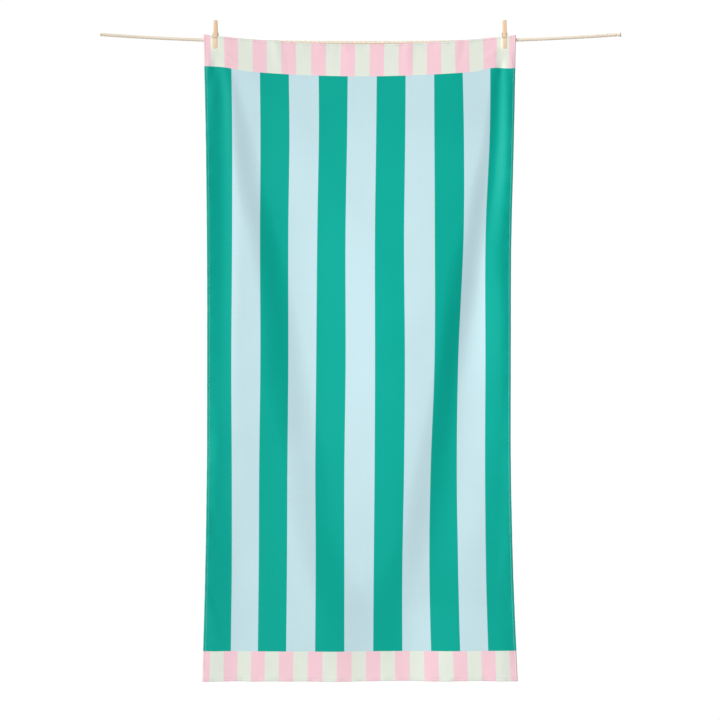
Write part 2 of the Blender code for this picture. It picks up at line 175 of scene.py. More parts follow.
# down, across, rise, reach: the middle of the cloth bellies forward a little
BELLY = (
    (0.000, 0.120, 0.0015, 0.300),
    (0.300, 0.170, 0.0060, 0.300),
    (0.800, 0.120, 0.0080, 0.300),
    (1.200, 0.030, 0.0085, 0.300),
    (1.400, 0.010, 0.0050, 0.300),
    (1.550, 0.010, 0.0000, 0.300),
)

# down, across, drop, reach: the strip beside each free edge turns back
LEFT_TURN = (
    (0.850, -0.393, 0.0000, 0.012),
    (0.940, -0.388, 0.0016, 0.018),
    (1.020, -0.386, 0.0050, 0.020),
    (1.110, -0.388, 0.0032, 0.018),
    (1.200, -0.390, 0.0004, 0.018),
    (1.600, -0.388, 0.0004, 0.018),
)
RIGHT_TURN = (
    (0.036, 0.392, 0.0000, 0.012),
    (0.105, 0.391, 0.0020, 0.012),
    (0.360, 0.392, 0.0010, 0.012),
    (0.560, 0.386, 0.0030, 0.018),
    (0.880, 0.388, 0.0015, 0.018),
    (1.130, 0.385, -0.0010, 0.020),
    (1.600, 0.380, 0.0030, 0.025),
)

# across, lift, reach: beside each peg the cloth is drawn up, most of all at this depth
PEG_PULLS = ((-0.355, 0.0050, 0.085), (0.335, 0.0060, 0.055))
PEG_PULL_DOWN = 0.080

TROUGHS = (LEFT_TROUGH, RIGHT_TROUGH, LEFT_HOLLOW)
TURNS = ((-1, LEFT_TURN), (1, RIGHT_TURN))

# Finer folds, which only the looks have. Each is a soft ridge or trough along its own line, with a row
# of across (to the viewer's right), down, rise and reach for each of its points.
CREASES = (
    # short pulls that fan out below each peg
    ((-0.366, 0.04, -0.0006, 0.006), (-0.372, 0.075, -0.0012, 0.009), (-0.374, 0.12, 0.0, 0.012)),
    ((-0.378, 0.044, 0.0, 0.006), (-0.388, 0.08, 0.001, 0.009), (-0.392, 0.13, 0.0, 0.01)),
    ((-0.358, 0.03, 0.0006, 0.007), (-0.338, 0.05, 0.0012, 0.01), (-0.302, 0.072, 0.0, 0.014)),
    ((0.366, 0.04, -0.0008, 0.006), (0.36, 0.072, -0.0014, 0.009), (0.356, 0.115, 0.0, 0.012)),
    ((0.38, 0.042, 0.0006, 0.006), (0.39, 0.07, 0.001, 0.008), (0.394, 0.11, 0.0, 0.01)),
    ((0.357, 0.026, 0.0006, 0.007), (0.335, 0.044, 0.0012, 0.01), (0.3, 0.06, 0.0, 0.014)),
    # the top edge gathers a little where it sags between the pegs
    ((-0.215, 0.0, 0.0012, 0.014), (-0.208, 0.035, 0.001, 0.018), (-0.196, 0.09, 0.0, 0.022)),
    ((-0.06, 0.0, -0.001, 0.016), (-0.058, 0.03, -0.0008, 0.02), (-0.05, 0.08, 0.0, 0.024)),
    ((0.118, 0.0, 0.0012, 0.015), (0.114, 0.04, 0.0008, 0.02), (0.104, 0.095, 0.0, 0.024)),
    ((0.262, 0.0, -0.001, 0.012), (0.256, 0.03, -0.0008, 0.015), (0.24, 0.08, 0.0, 0.018)),
    # uneven folds along the lower part of each side edge
    ((-0.392, 1.12, 0.0, 0.014), (-0.376, 1.21, -0.0006, 0.02), (-0.35, 1.32, 0.0, 0.024)),
    ((-0.396, 1.36, 0.0, 0.014), (-0.378, 1.45, 0.0012, 0.022), (-0.352, 1.53, 0.0, 0.026)),
    ((0.396, 1.18, 0.0, 0.014), (0.384, 1.28, 0.001, 0.022), (0.366, 1.39, 0.0, 0.024)),
    # soft flutes that rise from the bottom hem
    ((-0.242, 1.44, 0.0, 0.026), (-0.25, 1.6, 0.0006, 0.038)),
    ((0.168, 1.44, 0.0, 0.024), (0.176, 1.6, 0.0004, 0.036)),
)
CREASE_STEP = 0.003  # between the points that a crease's line is read at
CREASE_POINTS = 8  # at least

# Unevenness that no table names: height of the waves, waves to a metre, and a layer of the noise for
# each kind. The waves beside the bottom edge are drawn out upward, and they lift and lower that edge.
SLACK_HEIGHT = 0.0006
SLACK_SCALE = 9.0
SLACK_LAYER = 0.7
PUCKER_HEIGHT = 0.0009
PUCKER_SCALE = 42.0
PUCKER_LAYER = 2.1
PUCKER_FADE = 0.014
END_WAVE_HEIGHT = 0.0008
END_WAVE_SCALE = 11.0
END_WAVE_LAYER = 5.3
END_WAVE_SQUEEZE = 0.3
END_WAVE_FADE = 0.090
END_DROP = 0.0010

# The cloth's thin shell: how far its face stands forward at each distance in from a folded edge
SHELL = 0.0007
HEM_PROFILE = (
    (0.0000, -0.00120), (0.0003, -0.00070), (0.0008, -0.00022), (0.0015, 0.00000),
    (0.0030, 0.00030), (0.0045, 0.00020), (0.0054, -0.00006), (0.0060, -0.00018),
    (0.0066, -0.00006), (0.0078, 0.00010), (0.0110, 0.00004), (0.0160, 0.00000),
)
COLUMN_SPACING = 0.0060
ROW_SPACING = 0.0058

# The strip of cloth that is turned to the back: how far it lies behind the face at each distance in
HEM_STRIP_PROFILE = (
    (0.0014, 0.00165), (0.0024, 0.00200), (0.0038, 0.00205), (0.0050, 0.00175),
    (0.0060, 0.00155), (0.0067, 0.00165), (0.0070, 0.00160),
)

# Topstitch
STITCH_LINE = 0.0060  # in from the folded edge
STITCH_PITCH = 0.0032
STITCH_LENGTH = 0.0027
THREAD_RADIUS = 0.00024
STITCH_RINGS = ((-0.50, -0.00030, 0.6), (-0.32, 0.00008, 1.0), (0.32, 0.00008, 1.0), (0.50, -0.00030, 0.6))
THREAD_SIDES = 6

# The print: stripes as wide as these, and a band of narrow ones at each end
STRIPES = 11
FIELD_STRIPE = CLOTH_WIDTH / STRIPES
BAND_STRIPE = FIELD_STRIPE / 2
TOP_BAND = 0.0813
BOTTOM_BAND = 0.0750
DYE_BLEED = 0.0006
DYE_BLEED_SCALE = 900.0

# The line's strands
STRANDS = 3
STRAND_RADIUS = 0.00230
STRAND_OFFSET = 0.00185
STRAND_LAY = 0.0345
STRAND_SIDES = 12
STRAND_STEP = 0.0016
STRAND_UNEVEN = 0.08
STRAND_UNEVEN_SCALE = 55.0
STRAND_LAYER = 1.9
STRAND_LAYER_STEP = 3.7
END_FLARE = {"left": 0.10, "right": 0.42}
END_FLARE_LENGTH = 0.009
END_SWELLING = 0.5  # how far the flare thickens each strand

# Loose fibres. They drift along the line, rise in an arch and curl, each by a share of their length.
FIBRES = 640
FIBRE_LENGTHS = (0.0025, 0.0065)
FIBRE_DRIFTS = (0.5, 1.2)
FIBRE_RISE = 0.45
FIBRE_ARCH = 1.4
FIBRE_CURL = 0.25
FIBRE_ROOT = LINE_RADIUS * 0.85
FIBRE_RADIUS = 0.00005
FIBRE_POINTS = ((0.0, 1.0), (0.33, 0.9), (0.67, 0.7), (1.0, 0.3))  # share of the length and of the radius
FIBRE_SIDES = 3
FIBRE_SEED = 11
END_FIBRES = 70
END_FIBRE_ZONE = 0.003
END_FIBRE_SHARE = 0.45

FLAT_MAP = "flat_cloth"
TUBE_MAP = "around_and_along"

# Camera: the picture's width at the towel's printed face, and the point in the middle of the picture
PICTURE_WIDTH = 1.7834
PICTURE_CENTRE = (-0.0012, -0.7870)
CAMERA_DISTANCE = 7.0
SENSOR_WIDTH = 36.0

# The cloth's front face at the pegs: clear of the line, with a hem behind it
FACE_STAND_OFF = LINE_RADIUS + GAP + HEM_WALL + GAP + CLOTH_WALL


# --- Mesh and material helpers ---


def add_object(name, data, material=None, slot=None):
    """A new object in the scene. One with a slot rides on the part's one body."""
    obj = bpy.data.objects.new(name, data)
    bpy.context.scene.collection.objects.link(obj)
    if material:
        data.materials.append(material)
    if slot:
        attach(obj, "root")
    return obj


def set_uv(mesh, name, places):
    mesh.uv_layers.new(name=name).uv.foreach_set("vector", places.astype(np.float32).ravel())


def grid_mesh(name, points, flats):
    """A mesh that faces whoever sees the grid's points run rightward and down.

    Each point's flat place is kept in the UV map.
    """
    rows, columns = points.shape[:2]
    index = np.arange(rows * columns).reshape(rows, columns)
    corners = (index[:-1, :-1], index[1:, :-1], index[1:, 1:], index[:-1, 1:])
    quads = np.stack(corners, axis=-1).reshape(-1, 4)
    mesh = bpy.data.meshes.new(name)
    mesh.from_pydata(points.reshape(-1, 3).tolist(), [], quads.tolist())
    set_uv(mesh, FLAT_MAP, flats.reshape(-1, 2)[quads.ravel()])
    mesh.shade_smooth()
    return mesh


def unit(vectors):
    return vectors / np.linalg.norm(vectors, axis=-1, keepdims=True)


def distance_along(points):
    """How far along its own run each point lies."""
    steps = np.linalg.norm(np.diff(points, axis=-2), axis=-1)
    return np.concatenate((np.zeros_like(steps[..., :1]), np.cumsum(steps, axis=-1)), axis=-1)


def tube_mesh(name, centres, outward, radii, sides):
    """Closed tubes in one mesh. The centres and outward directions are arrays of (tube, ring, 3).

    The UV map holds the share of a turn around the tube, and the distance along it in metres.
    """
    tubes, rings = centres.shape[:2]
    tangents = unit(np.gradient(centres, axis=1))
    beside = unit(np.cross(tangents, outward))
    upward = np.cross(beside, tangents)
    angles = np.arange(sides) / sides * 2 * math.pi
    spread = np.broadcast_to(radii, (tubes, rings))[..., None, None]
    ring = np.cos(angles)[:, None] * upward[:, :, None] + np.sin(angles)[:, None] * beside[:, :, None]
    points = centres[:, :, None] + spread * ring
    first = np.arange(tubes)[:, None, None] * rings * sides
    start = first + np.arange(rings - 1)[:, None] * sides
    here = start + np.arange(sides)
    there = start + (np.arange(sides) + 1) % sides
    quads = np.stack((here, there, there + sides, here + sides), axis=-1).reshape(-1, 4)
    turn = np.arange(sides)
    near_caps = first[:, 0] + turn[::-1]
    far_caps = first[:, 0] + (rings - 1) * sides + turn
    mesh = bpy.data.meshes.new(name)
    faces = quads.tolist() + near_caps.tolist() + far_caps.tolist()
    mesh.from_pydata(points.reshape(-1, 3).tolist(), [], faces)
    along = distance_along(centres)
    around = np.stack((turn, turn + 1, turn + 1, turn), axis=-1) / sides
    shape = (tubes, rings - 1, sides, 4)
    both = np.stack((along[:, :-1], along[:, 1:]), axis=-1)[:, :, None, [0, 0, 1, 1]]
    places = np.stack((np.broadcast_to(around, shape), np.broadcast_to(both, shape)), axis=-1)
    caps = np.zeros((2 * tubes * sides, 2))
    set_uv(mesh, TUBE_MAP, np.concatenate((places.reshape(-1, 2), caps)))
    mesh.shade_smooth()
    return mesh


class Graph:
    """A material's nodes, added one call at a time. A value is a number, a tuple or a node's output."""

    def __init__(self, name, roughness, metallic=0.0, specular=0.5):
        self.material = bpy.data.materials.new(name)
        self.material.use_nodes = True
        self.tree = self.material.node_tree
        self.shader = self.tree.nodes["Principled BSDF"]
        values = {"Roughness": roughness, "Metallic": metallic, "Specular IOR Level": specular}
        for socket, value in values.items():
            self.shader.inputs[socket].default_value = value

    def put(self, socket, value):
        if isinstance(value, bpy.types.NodeSocket):
            self.tree.links.new(value, socket)
        else:
            socket.default_value = value

    def node(self, kind, output, inputs=(), **settings):
        """Adds a node and returns one of its outputs."""
        node = self.tree.nodes.new(kind)
        for name, value in settings.items():
            setattr(node, name, value)
        for key, value in dict(inputs).items():
            self.put(node.inputs[key], value)
        return node.outputs[output]

    def math(self, operation, *values):
        return self.node("ShaderNodeMath", 0, enumerate(values), operation=operation)

    def axis(self, place, name):
        return self.node("ShaderNodeSeparateXYZ", name, {0: place})

    def dim(self, colour, share):
        """The colour, times a number."""
        return self.node("ShaderNodeVectorMath", 0, {0: colour, "Scale": share}, operation="SCALE")

    def mix(self, share, first, second):
        """A mix of two colours, whose sockets on the node are 6 and 7."""
        return self.node("ShaderNodeMix", 2, {0: share, 6: first, 7: second}, data_type="RGBA")

    def noise(self, place, scale, detail=2.0):
        inputs = {"Vector": place, "Scale": scale, "Detail": detail}
        return self.node("ShaderNodeTexNoise", "Fac", inputs)

    def uneven(self, place, scale, amount, detail=2.0):
        """A number that strays from zero by about this amount."""
        stray = self.math("SUBTRACT", self.noise(place, scale, detail), 0.5)
        return self.math("MULTIPLY", stray, 2 * amount)

    def total(self, first, *others):
        for other in others:
            first = self.math("ADD", first, other)
        return first

    def stretch(self, place, *scales):
        return self.node("ShaderNodeVectorMath", 0, {0: place, 1: scales}, operation="MULTIPLY")

    def bump(self, height, strength, distance):
        inputs = {"Height": height, "Strength": strength, "Distance": distance}
        self.put(self.shader.inputs["Normal"], self.node("ShaderNodeBump", "Normal", inputs))

    def colour(self, value):
        self.put(self.shader.inputs["Base Color"], value)


# --- Materials ---

GREEN = (0.0005, 0.390, 0.306, 1.0)
BLUE = (0.548, 0.746, 0.796, 1.0)
PINK = (0.924, 0.608, 0.676, 1.0)
MINT = (0.772, 0.820, 0.725, 1.0)
REVERSE = (0.800, 0.830, 0.820, 1.0)
REVERSE_SHARE = 0.52
THREAD = (0.58, 0.78, 0.72)
DARK_BEIGE = (0.930, 0.810, 0.660, 1.0)
PALE_BEIGE = (1.000, 0.880, 0.720, 1.0)
PALE_WOOD = (0.920, 0.670, 0.450, 1.0)
DARK_WOOD = (0.820, 0.560, 0.330, 1.0)
JAW_WOOD = (0.880, 0.690, 0.510, 1.0)
DARK_STEEL = (0.62, 0.59, 0.55, 1.0)
PALE_STEEL = (0.82, 0.79, 0.74, 1.0)
OFF_WHITE = (0.86, 0.86, 0.85, 1.0)
WHITE = (1.0, 1.0, 1.0, 1.0)


def flat_place(graph):
    """A point's place on the flat cloth, in metres, with down measured from the bottom edge."""
    uv = graph.node("ShaderNodeUVMap", "UV", uv_map=FLAT_MAP)
    return graph.stretch(uv, CLOTH_WIDTH, CLOTH_LENGTH, 0.0)


def every_other(graph, place, width, start):
    """0 and 1 in turn, along stripes of this width."""
    count = graph.math("DIVIDE", graph.math("ADD", place, start), width)
    return graph.math("MODULO", graph.math("FLOOR", count), 2.0)


def printed_stripes(graph, place):
    """The print's colour: broad stripes, and a band of narrow ones at each end."""
    mirrored = graph.stretch(place, -1.0, 1.0, 1.0)
    across = graph.total(graph.axis(place, "X"), graph.uneven(place, DYE_BLEED_SCALE, DYE_BLEED))
    height = graph.total(graph.axis(place, "Y"), graph.uneven(mirrored, DYE_BLEED_SCALE, DYE_BLEED))
    field = graph.mix(every_other(graph, across, FIELD_STRIPE, 0.0), GREEN, BLUE)
    band = graph.mix(every_other(graph, across, BAND_STRIPE, BAND_STRIPE / 2), PINK, MINT)
    low = graph.math("LESS_THAN", height, BOTTOM_BAND)
    high = graph.math("GREATER_THAN", height, CLOTH_LENGTH - TOP_BAND)
    return graph.mix(graph.math("MAXIMUM", low, high), field, band)


def cloth_surface(graph, colour, place):
    """Adds the cloth's own unevenness to a colour: slubs both ways, a short nap and slow patches."""
    weft = graph.uneven(graph.stretch(place, 9.0, 360.0, 1.0), 1.0, 0.022, 3.0)
    warp = graph.uneven(graph.stretch(place, 360.0, 9.0, 1.0), 1.0, 0.018, 3.0)
    nap = graph.uneven(place, 1100.0, 0.030)
    patches = graph.uneven(place, 8.0, 0.014, 3.0)
    graph.colour(graph.dim(colour, graph.total(1.0, weft, warp, nap, patches)))
    graph.bump(graph.total(graph.noise(place, 1100.0), weft, warp), 0.22, 0.0004)


def make_print_material():
    graph = Graph("printed_cloth", roughness=0.60, specular=0.20)
    place = flat_place(graph)
    cloth_surface(graph, printed_stripes(graph, place), place)
    return graph.material


def make_reverse_material():
    """The unprinted face, where the print shows through paler."""
    graph = Graph("cloth_reverse", roughness=0.60, specular=0.10)
    place = flat_place(graph)
    cloth_surface(graph, graph.mix(REVERSE_SHARE, printed_stripes(graph, place), REVERSE), place)
    graph.shader.inputs["Sheen Weight"].default_value = 0.06
    graph.shader.inputs["Sheen Roughness"].default_value = 0.40
    return graph.material


def tube_place(graph):
    return graph.node("ShaderNodeUVMap", "UV", uv_map=TUBE_MAP)


def twisted(graph, place, starts, pitch):
    """A wave from 0 to 1 that winds round a tube: so many starts, and a whole turn in this pitch."""
    turns = graph.total(graph.axis(place, "X"), graph.math("DIVIDE", graph.axis(place, "Y"), pitch))
    wave = graph.math("SINE", graph.math("MULTIPLY", turns, starts * 2 * math.pi))
    return graph.math("MULTIPLY_ADD", wave, 0.5, 0.5)


def make_thread_material():
    graph = Graph("sewing_thread", roughness=0.45, specular=0.30)
    plies = twisted(graph, tube_place(graph), 2, 0.0009)
    graph.colour(graph.dim(THREAD, graph.math("MULTIPLY_ADD", plies, 0.25, 0.78)))
    graph.bump(plies, 0.5, 0.0001)
    return graph.material


def make_fibre_material():
    """Beige cotton yarns, wound against the strands' own twist, with paler and darker stretches, and
    painted shade on each strand's inner side, in the grooves between the strands.
    """
    graph = Graph("line_fibre", roughness=0.85, specular=0.15)
    tube = tube_place(graph)
    yarns = twisted(graph, tube, 5, -0.030)
    object_place = graph.node("ShaderNodeTexCoord", "Object")
    patches = graph.noise(graph.stretch(object_place, 16.0, 60.0, 60.0), 1.0, 3.0)
    fluff = graph.noise(object_place, 1500.0, 3.0)
    colour = graph.mix(patches, DARK_BEIGE, PALE_BEIGE)
    # painted shade: depth runs from 0.91 on the side of each strand that faces the line's centre, in the
    # grooves between strands, to 1.01 on its outer side
    outward = graph.math("COSINE", graph.math("MULTIPLY", graph.axis(tube, "X"), 2 * math.pi))
    depth = graph.math("MULTIPLY_ADD", outward, 0.05, 0.96)
    share = graph.math("MULTIPLY", depth, graph.math("MULTIPLY_ADD", yarns, 0.10, 0.93))
    graph.colour(graph.dim(colour, graph.total(share, graph.math("MULTIPLY_ADD", fluff, 0.2, -0.1))))
    graph.bump(graph.total(yarns, graph.math("MULTIPLY", fluff, 0.5)), 0.7, 0.0003)
    return graph.material


def make_wood_material():
    """Pale sanded wood: long grain with pores, paler at the jaws and darker at the handle's cut end."""
    graph = Graph("peg_wood", roughness=0.55, specular=0.30)
    place = graph.node("ShaderNodeTexCoord", "Object")
    grain = graph.noise(graph.stretch(place, 900.0, 900.0, 28.0), 1.0, 4.0)
    figure = graph.noise(graph.stretch(place, 260.0, 260.0, 9.0), 1.0, 2.0)
    pores = graph.noise(graph.stretch(place, 3800.0, 3800.0, 160.0), 1.0, 2.0)
    colour = graph.mix(figure, PALE_WOOD, DARK_WOOD)
    height = graph.axis(place, "Z")
    inputs = {"Value": height, 1: PALE_JAW_START, 2: PALE_JAW_START - PALE_JAW_FADE, 4: PALE_JAW_SHARE}
    colour = graph.mix(graph.node("ShaderNodeMapRange", 0, inputs), colour, JAW_WOOD)
    top = graph.math("GREATER_THAN", height, LEG_TOP - DARK_TOP)
    shade = graph.total(
        1.0,
        graph.math("MULTIPLY_ADD", grain, 0.30, -0.15),
        graph.math("MULTIPLY_ADD", pores, 0.16, -0.08),
        graph.math("MULTIPLY", top, -0.12),
    )
    graph.colour(graph.dim(colour, shade))
    graph.bump(graph.total(grain, graph.math("MULTIPLY", pores, 0.6)), 0.25, 0.0002)
    return graph.material


def make_steel_material():
    graph = Graph("spring_steel", roughness=0.34, metallic=0.6)
    place = graph.node("ShaderNodeTexCoord", "Object")
    scuffs = graph.noise(place, 2200.0, 3.0)
    graph.colour(graph.mix(scuffs, DARK_STEEL, PALE_STEEL))
    graph.put(graph.shader.inputs["Roughness"], graph.math("MULTIPLY_ADD", scuffs, 0.22, 0.30))
    return graph.material


def make_floor_material():
    """Pale and plain, and fading out at the rim."""
    graph = Graph("pale_floor", roughness=0.9, specular=0.2)
    graph.colour(OFF_WHITE)
    place = graph.node("ShaderNodeTexCoord", "Object")
    distance = graph.node("ShaderNodeVectorMath", "Value", {0: place}, operation="LENGTH")
    inputs = {"Value": distance, 1: FLOOR_FADE_START, 2: FLOOR_RADIUS, 3: 1.0, 4: 0.0}
    fade = graph.node("ShaderNodeMapRange", 0, inputs, interpolation_type="SMOOTHSTEP")
    graph.put(graph.shader.inputs["Alpha"], fade)
    return graph.material


# --- The form of the hung cloth ---


def table_at(rows, down):
    """A table's values at one height, on a smooth curve through its rows."""
    table = np.array(rows)
    heights = table[:, 0]
    values = table[:, 1:]
    tangents = np.gradient(values, heights, axis=0)
    k = int(np.clip(np.searchsorted(heights, down) - 1, 0, len(heights) - 2))
    step = heights[k + 1] - heights[k]
    t = min(max((down - heights[k]) / step, 0.0), 1.0)
    return (
        (2 * t**3 - 3 * t**2 + 1) * values[k]
        + (t**3 - 2 * t**2 + t) * step * tangents[k]
        + (3 * t**2 - 2 * t**3) * values[k + 1]
        + (t**3 - t**2) * step * tangents[k + 1]
    )


def ease(amount):
    """0 to 1 with level ends."""
    t = np.clip(amount, 0.0, 1.0)
    return t * t * (3 - 2 * t)


def swell(distance, rise, reach):
    """A rounded crest, or a trough where the rise is negative, that is level at its reach."""
    return rise * np.cos(np.clip(distance / reach, -1.0, 1.0) * math.pi / 2) ** 2


def grip(across, down):
    """1 where a peg holds the cloth flat against the line, and 0 away from it."""
    beside = np.abs(np.abs(across) - GRIP_ACROSS) - GRIP_HALF_WIDTH
    below = down - GRIP_DEPTH
    return (1 - ease(beside / GRIP_FADE_ACROSS)) * (1 - ease(below / GRIP_FADE_DOWN))


def trough(distance, fall, left_reach, rise, right_reach):
    """Falls away going right until its valley, where the distance is 0, and rises again after it."""
    return rise * ease(distance / right_reach) - fall * ease(1 + distance / left_reach)


def relief(across, down):
    """How far the cloth stands towards the viewer from the plane in which the pegs hold it."""
    centre, rise, reach = table_at(BELLY, down)
    total = swell(across - centre, rise, reach)
    for rows in TROUGHS:
        valley, *form = table_at(rows, down)
        total += trough(across - valley, *form)
    for side, rows in TURNS:
        centre, drop, reach = table_at(rows, down)
        total -= drop * ease(side * (across - centre) / reach / 2 + 0.5)
    return total * (1 - grip(across, down))


def hung_row(across, down):
    """The hung places of points across the cloth, at one height down it."""
    edges = np.linspace(-CLOTH_WIDTH / 2, CLOTH_WIDTH / 2, STRIPES + 1)
    hung = np.column_stack((edges, table_at(STRIPE_EDGES, down)))
    x = np.array([table_at(hung, place)[0] for place in across])
    y = -FACE_STAND_OFF - relief(across, down)
    corner_rise = np.where(across < 0, *TOP_EDGE_RISES)
    top = TOP_EDGE_MIDDLE + corner_rise * np.abs(across / (CLOTH_WIDTH / 2)) ** TOP_EDGE_POWER
    z = top + (BOTTOM_EDGE - top) * down / CLOTH_LENGTH
    return np.stack((x, y, z), axis=-1)


def crease_line(rows):
    """A crease's rows, read at close points on a smooth curve."""
    table = np.array(rows)
    along = distance_along(table[:, :2])
    keyed = np.column_stack((along, table))
    places = np.linspace(0.0, along[-1], max(CREASE_POINTS, round(along[-1] / CREASE_STEP)))
    return np.array([table_at(keyed, place) for place in places])


def crease_heights(across, down):
    """What the fine folds add at an array of flat places."""
    total = np.zeros_like(across)
    for rows in CREASES:
        line = crease_line(rows)
        low = line[:, :2].min(axis=0) - line[:, 3].max()
        high = line[:, :2].max(axis=0) + line[:, 3].max()
        near = (across > low[0]) & (across < high[0]) & (down > low[1]) & (down < high[1])
        away = np.hypot(across[near][:, None] - line[:, 0], down[near][:, None] - line[:, 1])
        nearest = away.argmin(axis=1)
        distance = away[np.arange(len(nearest)), nearest]
        total[near] += swell(distance, line[nearest, 2], line[nearest, 3])
    return total


def waves(across, down, scale, layer):
    """Smooth unevenness between about -1 and 1."""
    places = zip(across.ravel() * scale, down.ravel() * scale)
    values = [noise.noise(Vector((x, y, layer))) for x, y in places]
    return np.array(values).reshape(across.shape) * 2


def inset(across, down):
    """The distance in from the nearest edge of the cloth."""
    sides = CLOTH_WIDTH / 2 - np.abs(across)
    ends = np.minimum(down, CLOTH_LENGTH - down)
    return np.minimum(sides, ends)


def stations(low, high, spacing):
    """Flat places from one edge to the other: crowded at the hems, and even between them."""
    near = np.array([row[0] for row in HEM_PROFILE])
    count = round((high - low - 2 * near[-1]) / spacing)
    inner = np.linspace(low + near[-1], high - near[-1], count + 1)
    return np.concatenate((low + near[:-1], inner, high - near[-2::-1]))


def hang(across, down):
    """The printed face of the hung cloth, before its hems are folded: a grid of points."""
    points = np.stack([hung_row(row, height) for row, height in zip(across, down[:, 0])])
    free = 1 - grip(across, down)
    edge = np.exp(-inset(across, down) / PUCKER_FADE)
    end = np.exp(-(CLOTH_LENGTH - down) / END_WAVE_FADE)
    end_wave = waves(across, down * END_WAVE_SQUEEZE, END_WAVE_SCALE, END_WAVE_LAYER)
    forward = crease_heights(across, down)
    forward += SLACK_HEIGHT * waves(across, down, SLACK_SCALE, SLACK_LAYER)
    forward += PUCKER_HEIGHT * edge * waves(across, down, PUCKER_SCALE, PUCKER_LAYER)
    forward += END_WAVE_HEIGHT * end * end_wave
    points[:, :, 1] -= forward * free
    drawn_up = down / PEG_PULL_DOWN * np.exp(1 - down / PEG_PULL_DOWN)
    for centre, lift, reach in PEG_PULLS:
        points[:, :, 2] += drawn_up * swell(across - centre, lift, reach)
    points[:, :, 2] -= END_DROP * end * end_wave
    return points


def face_normals(points):
    """Unit normals of a grid of points, towards the viewer."""
    rightward = np.gradient(points, axis=1)
    downward = np.gradient(points, axis=0)
    return unit(np.cross(downward, rightward))


class Sheet:
    """The hung cloth as a grid of points, which can be read at any flat place."""

    def __init__(self):
        self.columns = stations(-CLOTH_WIDTH / 2, CLOTH_WIDTH / 2, COLUMN_SPACING)
        self.rows = stations(0.0, CLOTH_LENGTH, ROW_SPACING)
        self.across, self.down = np.meshgrid(self.columns, self.rows)
        plain = hang(self.across, self.down)
        self.normals = face_normals(plain)
        distances, heights = np.array(HEM_PROFILE).T
        folded = np.interp(inset(self.across, self.down), distances, heights)
        self.points = plain + self.normals * folded[..., None]

    def read(self, grid, across, down):
        """A grid's values at flat places, read between its points."""
        i = np.clip(np.searchsorted(self.columns, across) - 1, 0, len(self.columns) - 2)
        j = np.clip(np.searchsorted(self.rows, down) - 1, 0, len(self.rows) - 2)
        s = ((across - self.columns[i]) / (self.columns[i + 1] - self.columns[i]))[..., None]
        t = ((down - self.rows[j]) / (self.rows[j + 1] - self.rows[j]))[..., None]
        upper = grid[j, i] * (1 - s) + grid[j, i + 1] * s
        lower = grid[j + 1, i] * (1 - s) + grid[j + 1, i + 1] * s
        return upper * (1 - t) + lower * t

    def at(self, across, down, forward):
        """Points that stand off the printed face by this much."""
        normals = unit(self.read(self.normals, across, down))
        return self.read(self.points, across, down) + normals * np.asarray(forward)[..., None]


def flat_uv(across, down):
    return np.stack((across / CLOTH_WIDTH + 0.5, 1 - down / CLOTH_LENGTH), axis=-1)


# --- The towel ---


def add_wall(obj, thickness, back_offset=0):
    wall = obj.modifiers.new("wall", "SOLIDIFY")
    wall.thickness = thickness
    wall.offset = -1.0
    wall.material_offset = back_offset


def make_panel(sheet, face, reverse):
    mesh = grid_mesh("towel_panel", sheet.points, flat_uv(sheet.across, sheet.down))
    panel = add_object("towel_panel", mesh, face, "printed_cloth")
    mesh.materials.append(reverse)
    add_wall(panel, SHELL, back_offset=1)
    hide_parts("towel_cloth")
    return panel


def strip_grid(distances, lengthways, edge):
    """Flat places of a strip along one edge, as a grid that keeps the viewer's left-to-right order."""
    if edge in ("left", "right"):
        side = -1 if edge == "left" else 1
        across = side * (CLOTH_WIDTH / 2 - distances)
        return np.meshgrid(np.sort(across), lengthways)
    down = distances if edge == "top" else CLOTH_LENGTH - distances
    return np.meshgrid(lengthways, np.sort(down))


def make_hem(sheet, edge, material):
    """The cloth's edge, turned to the back. The end hems stop short of the side hems."""
    distances, depths = np.array(HEM_STRIP_PROFILE).T
    if edge in ("left", "right"):
        lengthways = sheet.rows[2:-2]
    else:
        inner = CLOTH_WIDTH / 2 - HEM_WIDTH - GAP
        between = sheet.columns[np.abs(sheet.columns) < inner - GAP]
        lengthways = np.concatenate(([-inner], between, [inner]))
    across, down = strip_grid(distances, lengthways, edge)
    behind = np.interp(inset(across, down), distances, depths)
    points = sheet.at(across, down, SHELL - behind)
    name = f"hem_{edge}_strip"
    mesh = grid_mesh(name, points[:, ::-1], flat_uv(across, down)[:, ::-1])
    hem = add_object(name, mesh, material, "hem_cloth")
    add_wall(hem, SHELL)
    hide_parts(f"hem_{edge}")
    return hem


def stitch_places():
    """The middle of each stitch on the flat cloth, and the direction that it runs in."""
    half = CLOTH_WIDTH / 2 - STITCH_LINE
    ends = (STITCH_LINE, CLOTH_LENGTH - STITCH_LINE)
    down = np.arange(ends[0] + STITCH_PITCH / 2, ends[1], STITCH_PITCH)
    across = np.arange(-half + STITCH_PITCH / 2, half, STITCH_PITCH)
    lines = [(np.full_like(down, side * half), down, (0.0, 1.0)) for side in (-1, 1)]
    lines += [(across, np.full_like(across, end), (1.0, 0.0)) for end in ends]
    return lines


def make_topstitch(sheet, name, material, side):
    """One row of stitches round the cloth, on its printed face (side 1) or its reverse (side -1)."""
    shares, lifts, widths = np.array(STITCH_RINGS).T
    base = 0.0 if side > 0 else -np.interp(STITCH_LINE, *np.array(HEM_STRIP_PROFILE).T)
    centres = []
    outward = []
    for across, down, (step_across, step_down) in stitch_places():
        a = across[:, None] + shares * STITCH_LENGTH * step_across
        d = down[:, None] + shares * STITCH_LENGTH * step_down
        centres.append(sheet.at(a, d, base + side * lifts))
        outward.append(side * sheet.read(sheet.normals, a, d))
    directions = unit(np.concatenate(outward))
    mesh = tube_mesh(name, np.concatenate(centres), directions, THREAD_RADIUS * widths, THREAD_SIDES)
    return add_object(name, mesh, material, "hem_cloth")


